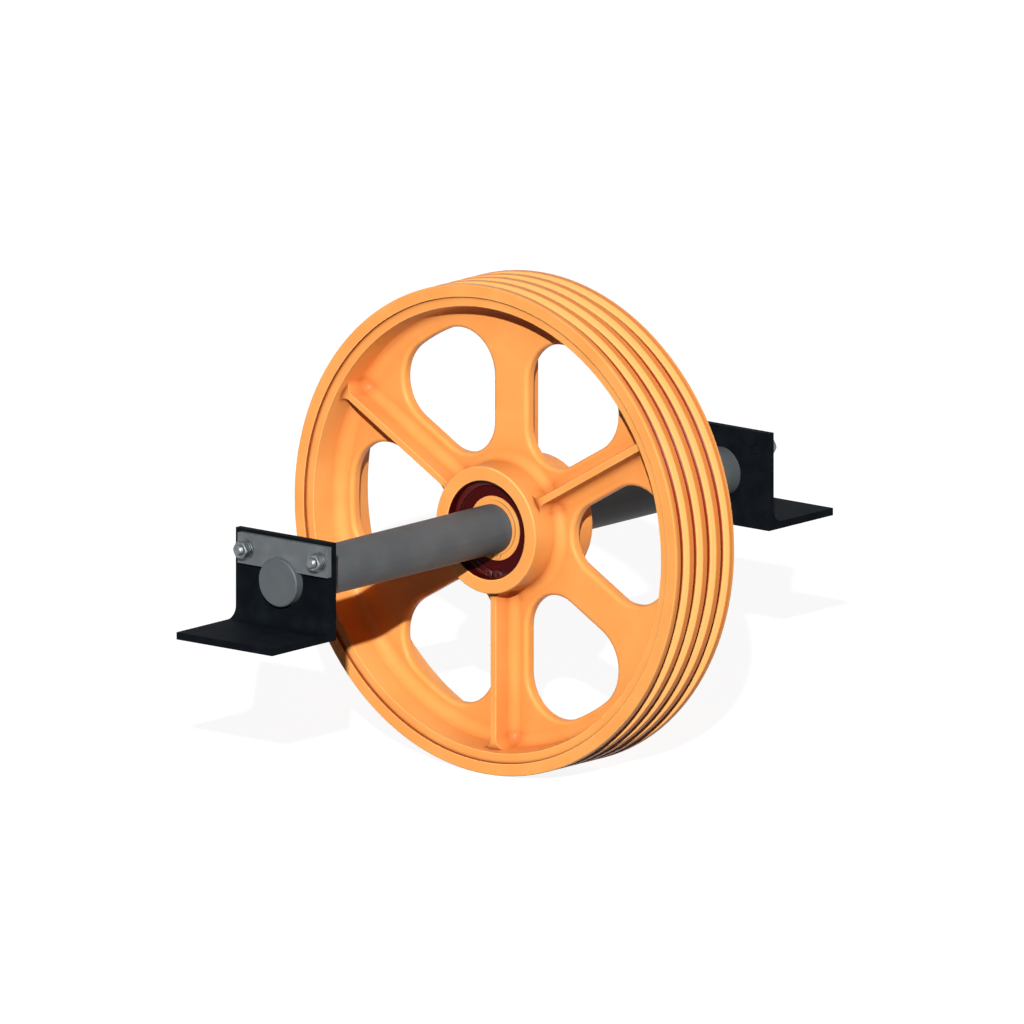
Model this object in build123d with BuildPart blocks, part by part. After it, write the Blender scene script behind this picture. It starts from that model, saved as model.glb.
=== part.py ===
from build123d import *
import os
from math import cos, radians, sin, sqrt, tan

# Idler pulley for lift ropes. A cast sheave with four rope grooves turns on two deep-groove ball
# bearings. Its axle stands still between two angle brackets, where keeper plates lock it.
# +Y runs along the axle, away from the near bracket, and +Z is up. The origin is on the axle,
# halfway between the brackets. All lengths are in millimetres and all angles in degrees.

# Rope grooves
sheave_diameter = 400.0
groove_count = 4
groove_distance = 16.6
groove_mouth = 11.4
groove_depth = 8.0
groove_root_radius = 5.2
groove_lip_radius = 0.8

# Rim
rim_end_land = 5.9
rim_wall = 10.0
rim_band_width = 10.0
rim_face_step = 2.5
rim_draft = 8.0
rim_edge_radius = 1.0
rim_fillet = 10.0

# Web, its six holes and the ribs on its spokes
web_thickness = 11.0
spoke_count = 6
spoke_width = 35.0
hole_hub_margin = 13.0
hole_rim_margin = 13.0
hole_corner_radius = 35.0
hole_corner_share = 0.95
hole_edge_radius = 3.5
rib_top_width = 5.6
rib_face_step = 10.1
rib_draft = 3.3
rib_fillet = 8.0
rib_root_bite = 4.0

# Hub
hub_wall = 12.0
hub_lip = 8.75
hub_draft = 1.5
hub_fillet = 8.0
hub_edge_radius = 1.0
hub_mouth_chamfer = 1.0
bearing_land = 13.2
bearing_land_height = 5.0
sheave_offset = 12.0

# Ball bearings, 40 x 80 x 18
bearing_bore = 40.0
bearing_corner_radius = 1.1
ball_diameter = 12.0
ball_count = 9
race_wall = 4.0
race_conformity = 0.52
race_clearance = 0.05
shoulder_offset = 3.7
ring_seat_clearance = 0.01
cage_thickness = 3.2
cage_bridge = 0.8
cage_pocket_clearance = 0.15
cage_side_gap = 0.95
shield_thickness = 0.6
shield_recess = 0.5
shield_seat_height = 1.2
shield_gap = 0.25

# Hub circlips, inside the bore
hub_circlip_thickness = 2.5
hub_circlip_width = 6.2
hub_circlip_gap_width = 3.8
hub_circlip_lug_radius = 3.9
hub_circlip_opening = 2.4
hub_circlip_groove_depth = 1.75

# Shaft circlips, outside the bearings
shaft_circlip_thickness = 1.75
shaft_circlip_width = 4.4
shaft_circlip_gap_width = 2.8
shaft_circlip_lug_radius = 3.0
shaft_circlip_opening = 2.4
shaft_circlip_groove_depth = 1.25

# Both kinds of circlip
circlip_side_clearance = 0.075
circlip_seat_clearance = 0.05
circlip_plier_hole = 2.5

# Shaft and spacer
shaft_overhang = 3.0
shaft_end_chamfer = 1.0
spacer_wall = 5.0
spacer_clearance = 0.05

# Angle brackets
bracket_distance = 540.0
bracket_length = 100.0
bracket_leg = 80.0
bracket_thickness = 6.0
bracket_root_radius = 10.0
bracket_toe_radius = 4.0
bracket_top_margin = 2.51
bracket_hole_clearance = 0.2

# Keeper plates
keeper_height = 25.0
keeper_thickness = 5.0
keeper_end_margin = 6.0
keeper_engagement = 10.0
keeper_slot_clearance = 0.1
keeper_edge_radius = 0.6

# Studs, nuts and washers
stud_diameter = 8.0
stud_end_margin = 9.0
stud_overhang = 3.2
stud_end_chamfer = 0.8
stud_seat_clearance = 0.02
stud_hole_clearance = 0.5
nut_sides = 6
nut_width = 13.0
nut_height = 6.8
nut_corner_chamfer = 0.9
nut_chamfer_angle = 30.0
washer_diameter = 16.0
washer_thickness = 1.6
washer_clearance = 0.2

os.makedirs("parts", exist_ok=True)

# Bearing, worked out from its bore, its balls and the walls around them
ball_radius = ball_diameter / 2
pitch_radius = bearing_bore / 2 + race_wall + ball_radius
bearing_outer_radius = pitch_radius + ball_radius + race_wall
cage_half = ball_radius + cage_pocket_clearance + cage_bridge
shield_inner_height = cage_half + cage_side_gap
shield_outer_height = shield_inner_height + shield_thickness
bearing_half = shield_outer_height + shield_recess
inner_shoulder_radius = pitch_radius - shoulder_offset
outer_shoulder_radius = pitch_radius + shoulder_offset
shield_seat_radius = outer_shoulder_radius + shield_seat_height
race_radius = ball_diameter * race_conformity
race_shift = race_radius - ball_radius - race_clearance

# Radii and half lengths of the sheave, worked out from the sizes above
sheave_radius = sheave_diameter / 2
rim_half = ((groove_count - 1) * groove_distance + groove_mouth) / 2 + rim_end_land
web_half = web_thickness / 2
barrel_face_height = rim_half - rim_face_step
barrel_mouth_radius = sheave_radius - groove_depth - rim_wall
barrel_root_radius = barrel_mouth_radius - (barrel_face_height - web_half) * tan(radians(rim_draft))
seat_radius = bearing_outer_radius + ring_seat_clearance
hub_radius = bearing_outer_radius + hub_wall
bearing_inner_height = bearing_land / 2
bearing_mid_height = bearing_inner_height + bearing_half
bearing_outer_height = bearing_mid_height + bearing_half
hub_groove_width = hub_circlip_thickness + 2 * circlip_side_clearance
hub_groove_radius = seat_radius + hub_circlip_groove_depth
hub_half = bearing_outer_height + hub_groove_width + hub_lip
hub_root_radius = hub_radius + (hub_half - web_half) * tan(radians(hub_draft))
land_radius = bearing_outer_radius - bearing_land_height

# Places of everything outside the sheave, along the axle and then across it
bracket_inner = bracket_distance / 2
bracket_outer = bracket_inner + bracket_thickness
keeper_outer = bracket_outer + keeper_thickness
washer_outer = keeper_outer + washer_thickness
nut_outer = washer_outer + nut_height
shaft_half = keeper_outer + shaft_overhang
shaft_radius = bearing_bore / 2 - ring_seat_clearance
keeper_low = shaft_radius - keeper_engagement
keeper_length = bracket_length - keeper_end_margin
keeper_shift = keeper_end_margin / 2
stud_level = keeper_low + keeper_height / 2
stud_spacing = keeper_length - 2 * stud_end_margin
bracket_top = keeper_low + keeper_height + bracket_top_margin

# Two heights closer than this count as the same
same_level = 0.01


def section_plane(height):
    """The plane for a turned section: x is the radius, y runs along the axle from this height."""
    return Plane(origin=(0, height, 0))


def facing_plane(height, side):
    """The plane across the axle that faces away from the middle on this side, with its y up."""
    return Plane(origin=(0, height, 0), x_dir=(-side, 0, 0), z_dir=(0, side, 0))


def corners(sketch, *points):
    """The corners of a section at these points and at their mirror images below the middle."""
    found = []
    for radius, height in points:
        for mirrored in (height, -height):
            found.append(sketch.vertices().sort_by_distance((radius, mirrored))[0])
    return found


def height_from_web(edge):
    """How far the middle of an edge of the sheave lies from the middle of its web."""
    return abs(edge.center().Y - sheave_offset)


# Outline of one web hole, about its own centre line. Its sides run along the two spokes beside it,
# and its two outer corners are only as round as they can be without meeting each other.
half_sector = radians(180.0 / spoke_count)
hole_apex_radius = spoke_width / 2 / sin(half_sector)
hole_inner_radius = hub_radius + hole_hub_margin
hole_outer_radius = barrel_root_radius - hole_rim_margin
hole_nose_radius = (hole_inner_radius - hole_apex_radius) * sin(half_sector) / (1 - sin(half_sector))
hole_corner_room = (hole_outer_radius * sin(half_sector) - spoke_width / 2) / (1 + sin(half_sector))
hole_corner = min(hole_corner_radius, hole_corner_share * hole_corner_room)
sector_half_width = (sheave_radius - hole_apex_radius) * tan(half_sector)

with BuildSketch() as web_hole:
    with BuildLine():
        Polyline(
            (hole_apex_radius, 0),
            (sheave_radius, sector_half_width),
            (sheave_radius, -sector_half_width),
            close=True,
        )
    make_face()
    Circle(hole_outer_radius, mode=Mode.INTERSECT)
    fillet(web_hole.vertices().sort_by(Axis.X)[0], hole_nose_radius)
    fillet(web_hole.vertices().sort_by(Axis.Y)[0], hole_corner)
    fillet(web_hole.vertices().sort_by(Axis.Y)[-1], hole_corner)

# Sheave, one casting: grooved rim, web with holes, ribs and a hub bored for two bearings
rib_top_height = rim_half - rib_face_step
rib_height = rib_top_height - web_half
rib_base_width = rib_top_width + 2 * rib_height * tan(radians(rib_draft))
rib_inner_radius = hub_radius - rib_root_bite
rib_outer_radius = barrel_mouth_radius + rib_root_bite
rib_length = rib_outer_radius - rib_inner_radius
rib_mid_radius = (rib_outer_radius + rib_inner_radius) / 2

with BuildPart() as sheave:
    with BuildSketch(section_plane(sheave_offset)) as sheave_section:
        with BuildLine():
            Polyline(
                (sheave_radius, 0),
                (sheave_radius, rim_half),
                (sheave_radius - rim_band_width, rim_half),
                (sheave_radius - rim_band_width, barrel_face_height),
                (barrel_mouth_radius, barrel_face_height),
                (barrel_root_radius, web_half),
                (hub_root_radius, web_half),
                (hub_radius, hub_half),
                (seat_radius, hub_half),
                (seat_radius, bearing_outer_height + hub_groove_width),
                (hub_groove_radius, bearing_outer_height + hub_groove_width),
                (hub_groove_radius, bearing_outer_height),
                (seat_radius, bearing_outer_height),
                (seat_radius, bearing_inner_height),
                (land_radius, bearing_inner_height),
                (land_radius, 0),
            )
            mirror(about=Plane.XZ)
        make_face()
        with BuildSketch(mode=Mode.PRIVATE) as rope_groove:
            with Locations((sheave_radius - groove_depth + groove_root_radius, 0)):
                Circle(groove_root_radius)
            with Locations((sheave_radius, 0)):
                Rectangle(2 * groove_lip_radius, groove_mouth)
            make_hull()
        with GridLocations(0, groove_distance, 1, groove_count):
            add(rope_groove.sketch, mode=Mode.SUBTRACT)
        rim_vertices = sheave_section.vertices().group_by(Axis.X)[-1].sort_by(Axis.Y)
        fillet([rim_vertices[0], rim_vertices[-1]], rim_edge_radius)
        fillet(rim_vertices[1:-1], groove_lip_radius)
        fillet(corners(sheave_section, (barrel_root_radius, web_half)), rim_fillet)
        fillet(corners(sheave_section, (hub_root_radius, web_half)), hub_fillet)
        fillet(corners(sheave_section, (hub_radius, hub_half)), hub_edge_radius)
        chamfer(corners(sheave_section, (seat_radius, hub_half)), hub_mouth_chamfer)
    revolve(axis=Axis.Y)
    for first_spoke, side in ((0, -1), (1, 1)):
        with BuildSketch(facing_plane(sheave_offset + side * web_half, side)):
            for spoke in range(first_spoke, spoke_count, 2):
                spoke_angle = (spoke + 0.5) * 360.0 / spoke_count
                facing_angle = spoke_angle if side < 0 else 180.0 - spoke_angle
                with PolarLocations(rib_mid_radius, 1, start_angle=facing_angle):
                    Rectangle(rib_length, rib_base_width)
        extrude(amount=rib_height, taper=rib_draft)
        rib_edges = sheave.edges(Select.LAST)
        rib_foot = [edge for edge in rib_edges if height_from_web(edge) < rib_top_height - same_level]
        fillet(rib_foot, rib_fillet)
    with BuildSketch(facing_plane(sheave_offset, -1)):
        with PolarLocations(0, spoke_count):
            add(web_hole.sketch)
    extrude(amount=web_thickness, both=True, mode=Mode.SUBTRACT)
    cut_edges = sheave.edges(Select.LAST)
    hole_rims = [edge for edge in cut_edges if abs(height_from_web(edge) - web_half) < same_level]
    fillet(hole_rims, hole_edge_radius)

sheave.part.label = "sheave"
export_step(sheave.part, "parts/sheave.step")

# Shaft, one bar through both bearings, with a slot across its top near each end for the keeper
shaft_groove_radius = shaft_radius - shaft_circlip_groove_depth
shaft_groove_width = shaft_circlip_thickness + 2 * circlip_side_clearance
slot_floor = keeper_low - keeper_slot_clearance
slot_depth = shaft_radius - slot_floor
slot_width = keeper_thickness + 2 * keeper_slot_clearance

with BuildPart() as shaft:
    with BuildSketch(section_plane(0)) as shaft_section:
        with Locations((shaft_radius / 2, 0)):
            Rectangle(shaft_radius, 2 * shaft_half)
        chamfer(shaft_section.vertices().group_by(Axis.X)[-1], shaft_end_chamfer)
        for side in (-1, 1):
            groove_height = sheave_offset + side * (bearing_outer_height + shaft_groove_width / 2)
            with Locations((shaft_radius, groove_height)):
                Rectangle(2 * shaft_circlip_groove_depth, shaft_groove_width, mode=Mode.SUBTRACT)
    revolve(axis=Axis.Y)
    for side in (-1, 1):
        with BuildSketch(facing_plane(side * (bracket_outer - keeper_slot_clearance), side)):
            with Locations((0, slot_floor + slot_depth)):
                Rectangle(2 * shaft_radius, 2 * slot_depth)
        extrude(amount=slot_width, mode=Mode.SUBTRACT)

shaft.part.label = "shaft"
export_step(shaft.part, "parts/shaft.step")

# Spacer tube that keeps the two inner rings apart
spacer_inner_radius = shaft_radius + spacer_clearance

with BuildPart() as spacer:
    with BuildSketch(section_plane(sheave_offset)):
        with Locations((spacer_inner_radius + spacer_wall / 2, 0)):
            Rectangle(spacer_wall, bearing_land)
    revolve(axis=Axis.Y)

spacer.part.label = "bearing_spacer"
export_step(spacer.part, "parts/bearing_spacer.step")

# Sizes that the circlips share on both sides
hub_clip_radius = hub_groove_radius - circlip_seat_clearance
hub_clip_inner_radius = hub_clip_radius - (hub_circlip_width + hub_circlip_gap_width) / 2
hub_clip_shift = (hub_circlip_width - hub_circlip_gap_width) / 2
hub_lug_x = hub_circlip_opening / 2 + hub_circlip_lug_radius
hub_lug_y = -sqrt((hub_clip_radius - hub_circlip_lug_radius) ** 2 - hub_lug_x**2)
shaft_clip_radius = shaft_groove_radius + circlip_seat_clearance
shaft_clip_outer_radius = shaft_clip_radius + (shaft_circlip_width + shaft_circlip_gap_width) / 2
shaft_clip_shift = (shaft_circlip_width - shaft_circlip_gap_width) / 2
shaft_lug_x = shaft_circlip_opening / 2 + shaft_circlip_lug_radius
shaft_lug_y = -sqrt((shaft_clip_radius + shaft_circlip_lug_radius) ** 2 - shaft_lug_x**2)

# The way from the axle to each ball, starting at the top
ball_angles = [radians(90.0 + number * 360.0 / ball_count) for number in range(ball_count)]
ball_directions = [Vector(cos(angle), 0, sin(angle)) for angle in ball_angles]

# One bearing and its two circlips on each side of the hub
for side_name, side in (("near", -1), ("far", 1)):
    bearing_height = sheave_offset + side * bearing_mid_height
    clip_height = sheave_offset + side * (bearing_outer_height + circlip_side_clearance)

    with BuildPart() as outer_ring:
        with BuildSketch(section_plane(bearing_height)) as outer_ring_section:
            with Locations(((outer_shoulder_radius + bearing_outer_radius) / 2, 0)):
                Rectangle(bearing_outer_radius - outer_shoulder_radius, 2 * bearing_half)
            fillet(outer_ring_section.vertices().group_by(Axis.X)[-1], bearing_corner_radius)
            with Locations((pitch_radius - race_shift, 0)):
                Circle(race_radius, mode=Mode.SUBTRACT)
            with Locations((outer_shoulder_radius, bearing_half), (outer_shoulder_radius, -bearing_half)):
                Rectangle(
                    2 * shield_seat_height,
                    2 * (bearing_half - shield_inner_height),
                    mode=Mode.SUBTRACT,
                )
        revolve(axis=Axis.Y)

    outer_ring.part.label = f"bearing_{side_name}_outer_ring"
    export_step(outer_ring.part, f"parts/{outer_ring.part.label}.step")

    with BuildPart() as inner_ring:
        with BuildSketch(section_plane(bearing_height)) as inner_ring_section:
            with Locations(((inner_shoulder_radius + bearing_bore / 2) / 2, 0)):
                Rectangle(inner_shoulder_radius - bearing_bore / 2, 2 * bearing_half)
            fillet(inner_ring_section.vertices().group_by(Axis.X)[0], bearing_corner_radius)
            with Locations((pitch_radius + race_shift, 0)):
                Circle(race_radius, mode=Mode.SUBTRACT)
        revolve(axis=Axis.Y)

    inner_ring.part.label = f"bearing_{side_name}_inner_ring"
    export_step(inner_ring.part, f"parts/{inner_ring.part.label}.step")

    with BuildPart() as cage:
        with BuildSketch(section_plane(bearing_height)):
            with Locations((pitch_radius, 0)):
                Rectangle(cage_thickness, 2 * cage_half)
        revolve(axis=Axis.Y)
        for direction in ball_directions:
            with BuildSketch(Plane(origin=(0, bearing_height, 0), z_dir=direction)):
                Circle(ball_radius + cage_pocket_clearance)
            extrude(amount=pitch_radius + cage_thickness, mode=Mode.SUBTRACT)

    cage.part.label = f"bearing_{side_name}_cage"
    export_step(cage.part, f"parts/{cage.part.label}.step")

    for number, direction in enumerate(ball_directions, start=1):
        ball_place = direction * pitch_radius + Vector(0, bearing_height, 0)
        with BuildPart(Plane(origin=ball_place)) as ball:
            Sphere(ball_radius)

        ball.part.label = f"bearing_{side_name}_ball_{number}"
        export_step(ball.part, f"parts/{ball.part.label}.step")

    for face_name, face in (("outer", side), ("inner", -side)):
        shield_height = bearing_height + face * (shield_inner_height + shield_thickness / 2)
        with BuildPart() as shield:
            with BuildSketch(section_plane(shield_height)):
                shield_low_radius = inner_shoulder_radius + shield_gap
                shield_high_radius = shield_seat_radius - ring_seat_clearance
                with Locations(((shield_low_radius + shield_high_radius) / 2, 0)):
                    Rectangle(shield_high_radius - shield_low_radius, shield_thickness)
            revolve(axis=Axis.Y)

        shield.part.label = f"bearing_{side_name}_{face_name}_shield"
        export_step(shield.part, f"parts/{shield.part.label}.step")

    with BuildPart() as hub_circlip:
        with BuildSketch(facing_plane(clip_height, side)):
            Circle(hub_clip_radius)
            with Locations((0, -hub_clip_shift)):
                Circle(hub_clip_inner_radius, mode=Mode.SUBTRACT)
            with Locations((hub_lug_x, hub_lug_y), (-hub_lug_x, hub_lug_y)):
                Circle(hub_circlip_lug_radius)
                Circle(circlip_plier_hole / 2, mode=Mode.SUBTRACT)
            with Locations((0, hub_lug_y)):
                Rectangle(hub_circlip_opening, 4 * hub_circlip_lug_radius, mode=Mode.SUBTRACT)
        extrude(amount=hub_circlip_thickness)

    hub_circlip.part.label = f"hub_circlip_{side_name}"
    export_step(hub_circlip.part, f"parts/{hub_circlip.part.label}.step")

    with BuildPart() as shaft_circlip:
        with BuildSketch(facing_plane(clip_height, side)):
            with Locations((0, shaft_clip_shift)):
                Circle(shaft_clip_outer_radius)
            with Locations((shaft_lug_x, shaft_lug_y), (-shaft_lug_x, shaft_lug_y)):
                Circle(shaft_circlip_lug_radius)
                Circle(circlip_plier_hole / 2, mode=Mode.SUBTRACT)
            Circle(shaft_clip_radius, mode=Mode.SUBTRACT)
            with Locations((0, shaft_lug_y)):
                Rectangle(shaft_circlip_opening, 4 * shaft_circlip_lug_radius, mode=Mode.SUBTRACT)
        extrude(amount=shaft_circlip_thickness)

    shaft_circlip.part.label = f"shaft_circlip_{side_name}"
    export_step(shaft_circlip.part, f"parts/{shaft_circlip.part.label}.step")

# One bracket with its keeper plate, studs, washers and nuts at each end of the shaft. Both ends
# are the same assembly, turned half round.
foot_level = bracket_top - bracket_leg
foot_top = foot_level + bracket_thickness
bracket_toe = bracket_inner + bracket_leg
stud_radius = stud_diameter / 2
nut_corner_radius = nut_width / 2 / cos(radians(180.0 / nut_sides))
nut_chamfer_reach = nut_corner_chamfer / tan(radians(nut_chamfer_angle))
stud_places = {
    "left": (keeper_shift - stud_spacing / 2, stud_level),
    "right": (keeper_shift + stud_spacing / 2, stud_level),
}

for side_name, side in (("near", -1), ("far", 1)):
    with BuildPart() as bracket:
        with BuildSketch(Plane.YZ) as bracket_section:
            with BuildLine():
                Polyline(
                    (side * bracket_inner, foot_level),
                    (side * bracket_inner, bracket_top),
                    (side * bracket_outer, bracket_top),
                    (side * bracket_outer, foot_top),
                    (side * bracket_toe, foot_top),
                    (side * bracket_toe, foot_level),
                    close=True,
                )
            make_face()
            section_corners = bracket_section.vertices()
            root_corner = section_corners.sort_by_distance((side * bracket_outer, foot_top))[0]
            upper_toe = section_corners.sort_by_distance((side * bracket_outer, bracket_top))[0]
            lower_toe = section_corners.sort_by_distance((side * bracket_toe, foot_top))[0]
            fillet(root_corner, bracket_root_radius)
            fillet([upper_toe, lower_toe], bracket_toe_radius)
        extrude(amount=bracket_length / 2, both=True)
        with BuildSketch(facing_plane(side * bracket_outer, side)):
            Circle(shaft_radius + bracket_hole_clearance)
            with Locations(*stud_places.values()):
                Circle(stud_radius + stud_seat_clearance)
        extrude(amount=bracket_thickness + bracket_root_radius, both=True, mode=Mode.SUBTRACT)

    bracket.part.label = f"bracket_{side_name}"
    export_step(bracket.part, f"parts/{bracket.part.label}.step")

    with BuildPart() as keeper:
        with BuildSketch(facing_plane(side * bracket_outer, side)):
            with Locations((keeper_shift, stud_level)):
                Rectangle(keeper_length, keeper_height)
            with Locations(*stud_places.values()):
                Circle(stud_radius + stud_hole_clearance, mode=Mode.SUBTRACT)
        extrude(amount=keeper_thickness)
        fillet(keeper.edges().filter_by(Axis.Y), keeper_edge_radius)

    keeper.part.label = f"keeper_plate_{side_name}"
    export_step(keeper.part, f"parts/{keeper.part.label}.step")

    for stud_name, stud_place in stud_places.items():
        stud_x = -side * stud_place[0]
        stud_axis = Axis((stud_x, 0, stud_level), (0, 1, 0))

        with BuildPart() as stud:
            with BuildSketch(facing_plane(side * bracket_inner, side)):
                with Locations(stud_place):
                    Circle(stud_radius)
            extrude(amount=nut_outer + stud_overhang - bracket_inner)
            chamfer(stud.edges().group_by(Axis.Y)[0], stud_end_chamfer)
            chamfer(stud.edges().group_by(Axis.Y)[-1], stud_end_chamfer)

        stud.part.label = f"keeper_stud_{side_name}_{stud_name}"
        export_step(stud.part, f"parts/{stud.part.label}.step")

        with BuildPart() as washer:
            with BuildSketch(facing_plane(side * keeper_outer, side)):
                with Locations(stud_place):
                    Circle(washer_diameter / 2)
                    Circle(stud_radius + washer_clearance, mode=Mode.SUBTRACT)
            extrude(amount=washer_thickness)

        washer.part.label = f"keeper_washer_{side_name}_{stud_name}"
        export_step(washer.part, f"parts/{washer.part.label}.step")

        with BuildPart() as nut:
            with BuildSketch(facing_plane(side * washer_outer, side)):
                with Locations(stud_place):
                    RegularPolygon(nut_width / 2, nut_sides, major_radius=False)
                    Circle(stud_radius + stud_seat_clearance, mode=Mode.SUBTRACT)
            extrude(amount=nut_height)
            for end, inward in ((washer_outer, side), (nut_outer, -side)):
                with BuildSketch(Plane(origin=(stud_x, side * end, stud_level))):
                    with BuildLine():
                        Polyline(
                            (nut_corner_radius - nut_chamfer_reach, 0),
                            (nut_corner_radius, 0),
                            (nut_corner_radius, inward * nut_corner_chamfer),
                            close=True,
                        )
                    make_face()
                revolve(axis=stud_axis, mode=Mode.SUBTRACT)

        nut.part.label = f"keeper_nut_{side_name}_{stud_name}"
        export_step(nut.part, f"parts/{nut.part.label}.step")
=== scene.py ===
"""Looks of an idler pulley for lift ropes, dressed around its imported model.

The sheave is a sand casting, turned where the ropes and bearings go and sprayed with orange enamel. It
runs on two ball bearings on a drawn steel shaft, which two black angle brackets carry. Sizes in the
classes are in millimetres, as a drawing gives them, and the scene itself is in metres.
"""

import logging
import math
from collections.abc import Iterable
from dataclasses import dataclass
from enum import Enum

import bpy
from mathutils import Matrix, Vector

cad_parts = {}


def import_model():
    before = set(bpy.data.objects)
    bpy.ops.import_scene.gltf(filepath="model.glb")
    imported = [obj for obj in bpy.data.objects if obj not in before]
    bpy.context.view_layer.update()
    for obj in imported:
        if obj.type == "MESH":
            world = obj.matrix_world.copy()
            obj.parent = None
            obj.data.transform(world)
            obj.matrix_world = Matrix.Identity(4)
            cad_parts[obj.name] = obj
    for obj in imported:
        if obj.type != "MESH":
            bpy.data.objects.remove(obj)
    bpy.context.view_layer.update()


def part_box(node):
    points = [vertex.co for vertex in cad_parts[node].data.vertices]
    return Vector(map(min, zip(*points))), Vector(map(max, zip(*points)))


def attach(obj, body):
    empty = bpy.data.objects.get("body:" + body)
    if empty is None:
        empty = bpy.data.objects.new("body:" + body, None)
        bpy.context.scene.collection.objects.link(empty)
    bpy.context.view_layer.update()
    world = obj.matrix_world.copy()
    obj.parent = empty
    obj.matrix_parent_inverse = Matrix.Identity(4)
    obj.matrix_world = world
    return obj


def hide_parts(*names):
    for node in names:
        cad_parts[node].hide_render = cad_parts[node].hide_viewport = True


LOG = logging.getLogger("idler_pulley")
MM = 0.001
UP = Vector((0.0, 0.0, 1.0))
ORIGIN = Vector((0.0, 0.0, 0.0))
# Settings of a Mix node that mixes colours, and of a Map Range node with a smooth rise from 0 to 1.
COLOUR_MIX = {"output": 2, "data_type": "RGBA"}
SMOOTH = {"interpolation_type": "SMOOTHSTEP"}
# Settings of an Ambient Occlusion node that looks at the piece itself and not at its neighbours. It gives 1
# on a flat or raised place and about 0.5 in a square corner.
OPENNESS = {"output": "AO", "samples": 10, "only_local": True}
# How far the marks of a turning tool wander from an even spacing, in radians of their wave.
TURNING_DRIFT = 3.0
# The angle past which an edge of a built piece stays sharp, in degrees.
SHARP_ANGLE = 35


class Side(Enum):
    """The two ends of the pulley, with the way that each one faces along the axle."""

    NEAR = -1
    FAR = 1

    @property
    def word(self) -> str:
        """The word that stands for this side in the names of the pieces."""
        return self.name.lower()


class Hand(Enum):
    """The two fasteners of one keeper plate, as seen by someone who faces it."""

    LEFT = "left"
    RIGHT = "right"


def linear(hex_colour: str) -> tuple[float, float, float, float]:
    """Turns an sRGB hex colour into the linear colour that a shader takes.

    Args:
        hex_colour: the colour as "#RRGGBB".

    Returns:
        Red, green, blue and a full alpha.
    """
    channels = []
    for start in (1, 3, 5):
        value = int(hex_colour[start : start + 2], 16) / 255
        channels.append(value / 12.92 if value <= 0.04045 else ((value + 0.055) / 1.055) ** 2.4)
    return channels[0], channels[1], channels[2], 1.0


def direction(azimuth: float, elevation: float) -> Vector:
    """The way from the object towards a camera or lamp.

    Args:
        azimuth: degrees to the right of the view along +Y.
        elevation: degrees above the horizon.

    Returns:
        A unit vector that points away from the object.
    """
    turn, tilt = math.radians(azimuth), math.radians(elevation)
    return Vector((math.sin(turn) * math.cos(tilt), -math.cos(turn) * math.cos(tilt), math.sin(tilt)))


def add_node(
    tree: bpy.types.NodeTree,
    kind: str,
    inputs: dict[str | int, object] | tuple[object, ...] = (),
    output: str | int = 0,
    **settings: object,
) -> bpy.types.NodeSocket:
    """Adds a node to a material or a world, with its settings and links.

    Args:
        tree: the node tree that takes it.
        kind: the node's type, without its leading "ShaderNode".
        inputs: a value for each input, by name or place, or in order, or another node's output to link.
        output: the name or place of the output that is wanted.
        settings: the node's own properties.

    Returns:
        That output.
    """
    node = tree.nodes.new(f"ShaderNode{kind}")
    for name, value in settings.items():
        setattr(node, name, value)
    by_key = inputs if isinstance(inputs, dict) else dict(enumerate(inputs))
    for key, value in by_key.items():
        if isinstance(value, bpy.types.NodeSocket):
            tree.links.new(value, node.inputs[key])
        else:
            node.inputs[key].default_value = value
    return node.outputs[output]


def colour_inputs(share: object, first: object, second: object) -> dict[int, object]:
    """The inputs with which a Mix node set to COLOUR_MIX goes from the first colour to the second."""
    return {0: share, 6: first, 7: second}


def per_metre(size: float) -> float:
    """How many times a pattern with spots or lines of this size, in millimetres, repeats in a metre."""
    return 1 / (size * MM)


@dataclass(frozen=True)
class Place:
    """Where a shaded point lies on the piece, as outputs of nodes.

    Attributes:
        point: its place from the piece's own middle.
        radius: how far it is from the axle's centre line.
        height: how far it is from the middle along the axle, whichever way.
        facing: 1 where the surface faces straight out along the axle, -1 where it faces back in.
    """

    point: bpy.types.NodeSocket
    radius: bpy.types.NodeSocket
    height: bpy.types.NodeSocket
    facing: bpy.types.NodeSocket


def place_about(tree: bpy.types.NodeTree, middle: Vector) -> Place:
    """Adds the nodes that say where a point is, about a middle on the axle.

    Args:
        tree: the material's node tree.
        middle: the middle, in the frame of the model.

    Returns:
        The outputs that give the place.
    """
    spot = add_node(tree, "TexCoord", output="Object")
    normal = add_node(tree, "TexCoord", output="Normal")
    point = add_node(tree, "VectorMath", (spot, tuple(middle)), operation="SUBTRACT")
    across = add_node(tree, "VectorMath", (point, (1, 0, 1)), operation="MULTIPLY")
    radius = add_node(tree, "VectorMath", (across,), output="Value", operation="LENGTH")
    along = add_node(tree, "SeparateXYZ", (point,), output="Y")
    normal_along = add_node(tree, "SeparateXYZ", (normal,), output="Y")
    side = add_node(tree, "Math", (along,), operation="SIGN")
    facing = add_node(tree, "Math", (normal_along, side), operation="MULTIPLY")
    height = add_node(tree, "Math", (along,), operation="ABSOLUTE")
    return Place(point, radius, height, facing)


def turning_marks(
    tree: bpy.types.NodeTree, distance: object, feed: float, wander: object
) -> bpy.types.NodeSocket:
    """The marks that a turning tool leaves, one for each turn of the work.

    Args:
        tree: the material's node tree.
        distance: how far the point is along the tool's way, in metres.
        feed: the spacing of the marks, in millimetres.
        wander: a random number that keeps them from being perfect.

    Returns:
        A wave from -1 to 1.
    """
    drift = add_node(tree, "Math", (wander, TURNING_DRIFT), operation="MULTIPLY")
    phase = add_node(tree, "Math", (distance, 2 * math.pi * per_metre(feed), drift), operation="MULTIPLY_ADD")
    return add_node(tree, "Math", (phase,), operation="SINE")


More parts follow.
